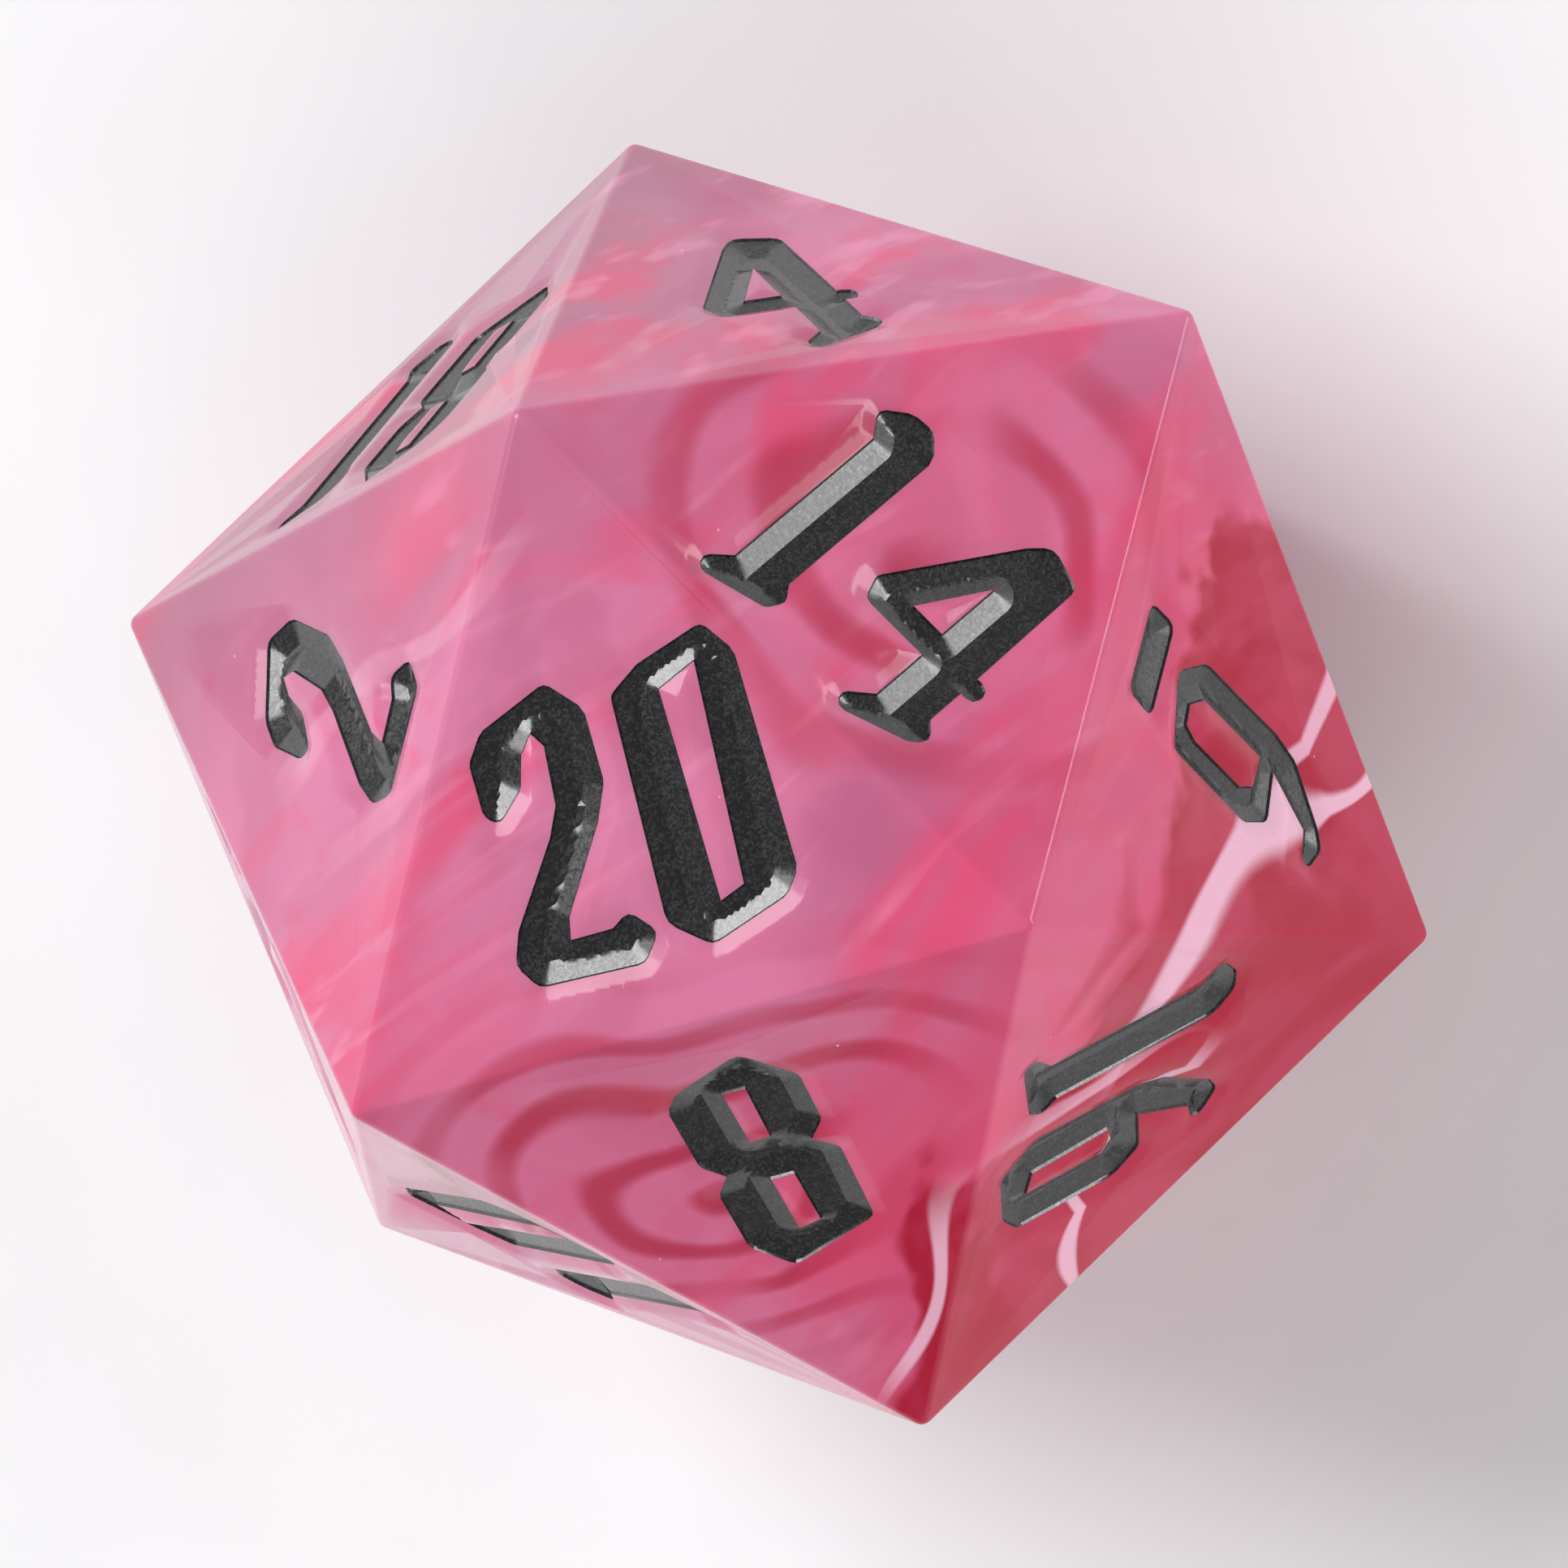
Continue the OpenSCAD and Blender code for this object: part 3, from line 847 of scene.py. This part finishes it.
@dataclass(frozen=True)
class MarbledResin:
    """Translucent pink resin with crimson and white pigment stirred in, polished.

    Attributes:
        centre: Middle of the die.
        reach: Distance from the middle to a face, the unit of the pattern.
        pink: The lighter ground.
        mauve: The darker ground.
        grey_pink: The dusty ground of one side.
        roughness: Roughness of the polished surface.
        polish: Weight of the clear gloss on it.
        depth_mm: How deep the light goes in.
        pigments: What was stirred in, in order.
    """

    centre: Vector
    reach: float
    pink: Colour = (0.63, 0.19, 0.335, 1)
    mauve: Colour = (0.55, 0.155, 0.28, 1)
    grey_pink: Colour = (0.36, 0.15, 0.215, 1)
    roughness: float = 0.15
    polish: float = 0.08
    depth_mm: float = 0.5
    pigments: tuple[Pigment, ...] = (
        Streaks((8, 6, -26), (0.50, 3.4, 1.8), 0.35, 0.47, 0.68, DEEP_MAUVE, 0.5),
        Streaks((-8, 10, -30), (0.45, 6.0, 3.0), 0.40, 0.46, 0.66, ROSE, 0.75),
        Streaks((5, -10, -22), (0.35, 15.0, 6.0), 0.35, 0.54, 0.70, PALE_PINK, 0.45),
        Eddy((0.60, 0.33, 0.72), (1.0, 1.0, 1.0), 30.0, 0.70, 0.62),
        Eddy((-0.10, -0.70, 0.76), (0.72, 1.15, 1.15), 44.0, 0.70, 0.75),
        Eddy((-0.70, -0.35, -0.60), (1.0, 0.8, 1.0), 40.0, 0.60, 0.34),
        Eddy((0.25, 0.80, -0.55), (0.9, 1.0, 1.2), 50.0, 0.55, 0.34),
        RedFlow(),
        Ribbon((0.689, -0.717, -0.1), 0.905, 0.055, 0.30, (0.95, -0.45, 0.1), 0.62, 0.92),
        Ribbon((0.9, 0.2, 0.35), 0.90, 0.018, 0.35, (1.1, -0.2, 0.0), 0.35, 0.8),
        Ribbon((0.45, -0.80, 0.35), 1.02, 0.013, 0.25, (0.35, -0.95, 0.2), 0.5, 0.85),
        Ribbon((-0.45, 0.85, -0.1), 0.42, 0.05, 0.4, (-0.45, 0.55, 0.8), 0.5, 0.22),
        Ribbon((-0.5, -0.6, 0.6), 0.35, 0.04, 0.6, (-0.7, -0.3, -0.6), 0.9, 0.6),
    )

    def build(self) -> bpy.types.Material:
        """Wires the material.

        Returns:
            The finished material.
        """
        material, sheet, shader = new_material("marbled_resin")
        place = sheet.node("ShaderNodeTexCoord").outputs["Object"]
        spot = sheet.scaled(sheet.vector("SUBTRACT", place, tuple(self.centre)), 1 / self.reach)
        colour = self.ground(sheet, spot)
        for pigment in self.pigments:
            colour = pigment.add(sheet, spot, colour)
        sheet.feed(shader.inputs["Base Color"], self.dust(sheet, place, colour))
        self.skin(sheet, place, shader)
        return material

    def ground(self, sheet: Sheet, spot: bpy.types.NodeSocket) -> bpy.types.NodeSocket:
        """Mixes the soft clouds of pink, mauve and grey-pink.

        Args:
            sheet: The material's sheet.
            spot: Place in the die, in reaches from its middle.

        Returns:
            The colour so far.
        """
        cloud = sheet.ramp(sheet.noise(spot, 1.5, 3.0, 1.4), 0.40, 0.60)
        colour = sheet.mix(cloud, self.pink, self.mauve)
        glow = sheet.ramp(sheet.noise(spot, 2.3, 2.0, 2.0), 0.52, 0.70)
        colour = sheet.mix(sheet.maths("MULTIPLY", glow, 0.42), colour, ROSE)
        side = sheet.vector("DOT_PRODUCT", spot, (-0.42, 0.80, 0.1), output="Value")
        dusty = sheet.maths("MULTIPLY", sheet.ramp(side, 0.45, 1.05), 0.85)
        return sheet.mix(dusty, colour, self.grey_pink)

    def dust(self, sheet: Sheet, place: bpy.types.NodeSocket, colour: object) -> bpy.types.NodeSocket:
        """Adds the few white grains that lie in the resin."""
        grains = sheet.group("fine_flakes", {
            "Vector": place, "Flakes per mm": 1.6, "Share": 0.10, "Size": 0.05})
        return sheet.mix(sheet.maths("MULTIPLY", grains.outputs["Dot"], 0.6), colour, MILK)

    def skin(self, sheet: Sheet, place: bpy.types.NodeSocket, shader: bpy.types.Node) -> None:
        """Sets the polished, slightly translucent surface.

        Args:
            sheet: The material's sheet.
            place: Object coordinates.
            shader: The Principled shader.
        """
        shader.inputs["IOR"].default_value = 1.45
        shader.inputs["Specular IOR Level"].default_value = 0.3
        shader.inputs["Coat Weight"].default_value = self.polish
        shader.inputs["Coat Roughness"].default_value = 0.08
        shader.inputs["Subsurface Weight"].default_value = 0.3
        shader.inputs["Subsurface Radius"].default_value = (1.0, 0.35, 0.45)
        shader.inputs["Subsurface Scale"].default_value = self.depth_mm * MM
        worn = sheet.noise(place, 900.0, 3.0)
        rough = sheet.maths("MULTIPLY_ADD", sheet.maths("SUBTRACT", worn, 0.5), 0.12, self.roughness)
        sheet.feed(shader.inputs["Roughness"], rough)
        bump = sheet.node("ShaderNodeBump", {
            "Height": sheet.noise(place, 260.0, 2.0), "Strength": 0.04, "Distance": 0.05 * MM})
        sheet.feed(shader.inputs["Normal"], bump.outputs[0])


@dataclass(frozen=True)
class SparklePaint:
    """Black paint with fine metallic flakes."""

    black: Colour = (0.006, 0.006, 0.007, 1)
    flake: Colour = (0.035, 0.035, 0.037, 1)
    roughness: float = 0.22

    def build(self) -> bpy.types.Material:
        """Wires the material.

        Returns:
            The finished material.
        """
        material, sheet, shader = new_material("sparkle_paint")
        place = sheet.node("ShaderNodeTexCoord").outputs["Object"]
        flakes = sheet.group("fine_flakes", {"Vector": place, "Flakes per mm": 20.0, "Share": 0.5})
        sheet.feed(shader.inputs["Base Color"], sheet.mix(flakes.outputs["Mask"], self.black, self.flake))
        rough = sheet.maths("MULTIPLY_ADD", flakes.outputs["Grey"], 0.16, self.roughness - 0.06)
        sheet.feed(shader.inputs["Roughness"], rough)
        height = sheet.maths("ADD", flakes.outputs["Grey"], sheet.noise(place, 6000.0, 2.0))
        bump = sheet.node("ShaderNodeBump", {"Height": height, "Strength": 0.35, "Distance": 0.004 * MM})
        sheet.feed(shader.inputs["Normal"], bump.outputs[0])
        shader.inputs["IOR"].default_value = 1.62
        shader.inputs["Coat Weight"].default_value = 0.3
        shader.inputs["Coat Roughness"].default_value = 0.12
        return material


@dataclass(frozen=True)
class TableTop:
    """Plain pale table."""

    pale: Colour = (0.80, 0.80, 0.81, 1)
    variation: float = 1.03

    def build(self) -> bpy.types.Material:
        """Wires the material.

        Returns:
            The finished material.
        """
        material, sheet, shader = new_material("pale_table")
        place = sheet.node("ShaderNodeTexCoord").outputs["Object"]
        grain = sheet.noise(place, 120.0, 3.0)
        paler = (*(share * self.variation for share in self.pale[:3]), 1)
        sheet.feed(shader.inputs["Base Color"], sheet.mix(sheet.ramp(grain, 0.3, 0.7), self.pale, paler))
        shader.inputs["Roughness"].default_value = 0.7
        return material


# ---------------------------------------------------------------- pieces


def deselect_all() -> None:
    """Leaves nothing selected or active."""
    bpy.ops.object.select_all(action="DESELECT")
    bpy.context.view_layer.objects.active = None


def pick(piece: bpy.types.Object) -> None:
    """Selects one object alone and makes it the active one."""
    deselect_all()
    piece.select_set(True)
    bpy.context.view_layer.objects.active = piece


def merged_copy(source: bpy.types.Object, name: str) -> bpy.types.Object:
    """Copies a CAD node and joins its loose triangles.

    Args:
        source: The CAD node.
        name: Name of the copy.

    Returns:
        The copy, with one vertex where several lay together.
    """
    copy = source.copy()
    copy.data = source.data.copy()
    copy.name, copy.data.name = name, name
    copy.parent = None
    for key in list(copy.keys()):
        del copy[key]
    bpy.context.scene.collection.objects.link(copy)
    pick(copy)
    bpy.ops.mesh.customdata_custom_splitnormals_clear()
    bpy.ops.object.mode_set(mode="EDIT")
    bpy.ops.mesh.select_all(action="SELECT")
    bpy.ops.mesh.remove_doubles(threshold=MERGE_DISTANCE)
    bpy.ops.object.mode_set(mode="OBJECT")
    return copy


def finish_shading(piece: bpy.types.Object, angle: float) -> None:
    """Smooths a piece's shading, apart from its sharp edges, and lets its large faces stay flat.

    Args:
        piece: The piece.
        angle: The angle, in degrees, above which an edge stays sharp.
    """
    pick(piece)
    bpy.ops.object.shade_smooth_by_angle(angle=math.radians(angle))
    weighted = piece.modifiers.new("weighted_normals", "WEIGHTED_NORMAL")
    weighted.keep_sharp = True
    bpy.ops.object.modifier_apply(modifier=weighted.name)


def dress(piece: bpy.types.Object, material: bpy.types.Material) -> None:
    """Gives a piece one material all over."""
    piece.data.materials.clear()
    piece.data.materials.append(material)
    for polygon in piece.data.polygons:
        polygon.material_index = 0


@dataclass
class PaintedNumeral:
    """The paint pooled in one engraved number.

    Attributes:
        node: Name of the CAD node that it stands for.
        top: Triangles of the paint's surface.
        recess: Corners of each wall and floor of the engraving.
    """

    node: str
    top: list[list[Vector]]
    recess: list[list[Vector]]

    def build(self, material: bpy.types.Material) -> bpy.types.Object:
        """Makes the closed body of paint between its surface and the engraving.

        Args:
            material: Its finish.

        Returns:
            The finished piece.
        """
        mesh = bmesh.new()
        for corners in self.top + [list(reversed(wall)) for wall in self.recess]:
            mesh.faces.new([mesh.verts.new(corner) for corner in corners])
        bmesh.ops.remove_doubles(mesh, verts=mesh.verts, dist=MERGE_DISTANCE)
        data = bpy.data.meshes.new(f"{self.node}_paint")
        mesh.to_mesh(data)
        mesh.free()
        piece = bpy.data.objects.new(data.name, data)
        bpy.context.scene.collection.objects.link(piece)
        finish_shading(piece, SHARP_PAINT)
        dress(piece, material)
        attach(piece, "root")
        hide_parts(self.node)
        return piece


@dataclass
class DieBody:
    """The resin body, with a soft dip round every engraving.

    Attributes:
        solid: The ideal solid.
        profile: How the surface runs across a rim.
        numerals: What the paint of each engraving needs, once the body is built.
    """

    solid: Icosahedron
    profile: Profile
    numerals: list[PaintedNumeral] = field(default_factory=list)

    def build(self, material: bpy.types.Material) -> bpy.types.Object:
        """Makes the body and takes down what the numerals need.

        Args:
            material: The resin.

        Returns:
            The finished piece.
        """
        piece = merged_copy(frame["nodes"]["body"], "resin_body")
        mesh = bmesh.new()
        mesh.from_mesh(piece.data)
        for node in sorted(n for n in frame["nodes"] if n.startswith("numeral_")):
            low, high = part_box(node)
            out = self.solid.facing((low + high) / 2)
            self.engrave(mesh, node, out)
        mesh.to_mesh(piece.data)
        mesh.free()
        finish_shading(piece, SHARP_RESIN)
        dress(piece, material)
        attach(piece, "root")
        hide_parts("body")
        return piece

    def engrave(self, mesh: bmesh.types.BMesh, node: str, out: Vector) -> None:
        """Gives one face its dips, and keeps the surfaces that its paint needs.

        Args:
            mesh: The body's mesh.
            node: The numeral's CAD node.
            out: Direction that its face looks in.
        """
        face = EngravedFace(mesh, out, self.solid.centre + out * self.solid.reach, self.profile)
        surfaces = face.surfaces()
        walls = face.recess()
        for vertex in {v for e in face.rims for v in e.verts}:
            vertex.co -= out * self.profile.dip_depth
        top = [[getattr(corner, "co", corner).copy() for corner in t] for t in surfaces[Part.PAINT]]
        self.numerals.append(PaintedNumeral(node, top, [[v.co.copy() for v in w.verts] for w in walls]))
        bmesh.ops.delete(mesh, geom=face.flat, context="FACES_ONLY")
        made = {}
        for triangle in surfaces[Part.RESIN]:
            for corner in triangle:
                if isinstance(corner, Vector) and id(corner) not in made:
                    made[id(corner)] = mesh.verts.new(corner)
            mesh.faces.new([made.get(id(corner), corner) for corner in triangle])


# ---------------------------------------------------------------- stage


@dataclass(frozen=True)
class Camera:
    """The camera, looking down on the die from one side.

    Attributes:
        distance: Distance from the middle of the die, in reaches of the die.
        elevation: Height of the view above the table, in degrees.
        azimuth: Direction that the camera stands in, in degrees from +X.
        roll: Turn of the picture, in degrees.
        lens_mm: Focal length on a 36 mm sensor.
        aside: How far the view passes the die's middle, to the right and up, in reaches.
    """

    distance: float = 23.61
    elevation: float = 74.26
    azimuth: float = -0.46
    roll: float = 15.79
    lens_mm: float = 288.8
    aside: tuple[float, float] = (0.013, -0.0104)

    def place(self, solid: Icosahedron) -> bpy.types.Object:
        """Sets the camera up.

        Args:
            solid: The die.

        Returns:
            The scene's camera.
        """
        up, side = math.radians(self.elevation), math.radians(self.azimuth)
        back = Vector((math.cos(up) * math.cos(side), math.cos(up) * math.sin(side), math.sin(up)))
        level = (Vector((0, 1, 0)) - back * back.y).normalized()
        turn = math.radians(self.roll)
        upright = level * math.cos(turn) + level.cross(back) * math.sin(turn)
        right = upright.cross(back)
        aim = solid.centre + (right * self.aside[0] + upright * self.aside[1]) * solid.reach
        data = bpy.data.cameras.new("camera")
        data.lens, data.sensor_width, data.clip_start = self.lens_mm, 36, 0.01
        camera = bpy.data.objects.new("camera", data)
        turned = Matrix((right, upright, back)).transposed().to_4x4()
        camera.matrix_world = Matrix.Translation(aim + back * self.distance * solid.reach) @ turned
        bpy.context.scene.collection.objects.link(camera)
        bpy.context.scene.camera = camera
        return camera


@dataclass(frozen=True)
class SoftBox:
    """A soft rectangular lamp aimed at the die.

    Attributes:
        name: The lamp's name.
        azimuth: Direction that it stands in, in degrees from +X.
        elevation: Height above the table, in degrees.
        half_width: Half of its width as seen from the die, in degrees.
        half_height: Half of its height as seen from the die, in degrees.
        radiance: Brightness of its surface.
        mirrored: Whether polished surfaces show it.
        distance: Distance from the die, in metres.
    """

    name: str
    azimuth: float
    elevation: float
    half_width: float
    half_height: float
    radiance: float
    mirrored: bool = True
    distance: float = 0.5

    def place(self, solid: Icosahedron) -> bpy.types.Object:
        """Hangs the lamp.

        Args:
            solid: The die.

        Returns:
            The lamp.
        """
        up, side = math.radians(self.elevation), math.radians(self.azimuth)
        way = Vector((math.cos(up) * math.cos(side), math.cos(up) * math.sin(side), math.sin(up)))
        width, height = (2 * self.distance * math.tan(math.radians(half))
                         for half in (self.half_width, self.half_height))
        data = bpy.data.lights.new(self.name, "AREA")
        data.shape, data.size, data.size_y = "RECTANGLE", width, height
        data.energy = self.radiance * math.pi * width * height
        lamp = bpy.data.objects.new(self.name, data)
        lamp.location = solid.centre + way * self.distance
        lamp.rotation_euler = way.to_track_quat("Z", "Y").to_euler()
        lamp.visible_glossy = self.mirrored
        bpy.context.scene.collection.objects.link(lamp)
        return lamp


@dataclass(frozen=True)
class Studio:
    """Table, lamps and surroundings.

    Attributes:
        table_width: Width of the table, in metres.
        surround: Brightness of the white surroundings.
        lamps: The lamps.
    """

    table_width: float = 3.0
    surround: float = 0.24
    lamps: tuple[SoftBox, ...] = (
        SoftBox("back_left_softbox", 132, 41, 16, 16, 9.2),
        SoftBox("low_right_softbox", 4, 9, 22, 7, 8.0),
        SoftBox("front_fill", -95, 40, 30, 30, 1.55, mirrored=False),
    )

    def build(self, solid: Icosahedron) -> None:
        """Builds the stage round the die.

        Args:
            solid: The die.
        """
        deselect_all()
        bpy.ops.mesh.primitive_plane_add(size=self.table_width, location=(0, 0, solid.low.z))
        table = bpy.context.object
        table.name = "table"
        dress(table, TableTop().build())
        for lamp in self.lamps:
            lamp.place(solid)
        world = bpy.data.worlds.new("surroundings")
        world.use_nodes = True
        background = world.node_tree.nodes["Background"]
        background.inputs["Color"].default_value = (0.97, 0.975, 1.0, 1)
        background.inputs["Strength"].default_value = self.surround
        bpy.context.scene.world = world
        bpy.context.scene.view_settings.view_transform = "Standard"


def main() -> None:
    """Builds the die and its stage."""
    logging.basicConfig(level=logging.INFO, format="%(name)s: %(message)s")
    solid = Icosahedron(Vector(CAD_BOX[0]), Vector(CAD_BOX[1]))
    for build_group in (streaks_group, eddy_group, ribbon_group, flakes_group):
        build_group()
    resin = MarbledResin(solid.centre, solid.reach).build()
    paint = SparklePaint().build()
    body = DieBody(solid, Profile())
    piece = body.build(resin)
    LOG.info("resin body: %d faces", len(piece.data.polygons))
    for numeral in body.numerals:
        piece = numeral.build(paint)
        LOG.info("%s: %d faces", numeral.node, len(piece.data.polygons))
    Studio().build(solid)
    Camera().place(solid)


if __name__ == "__main__":
    main()
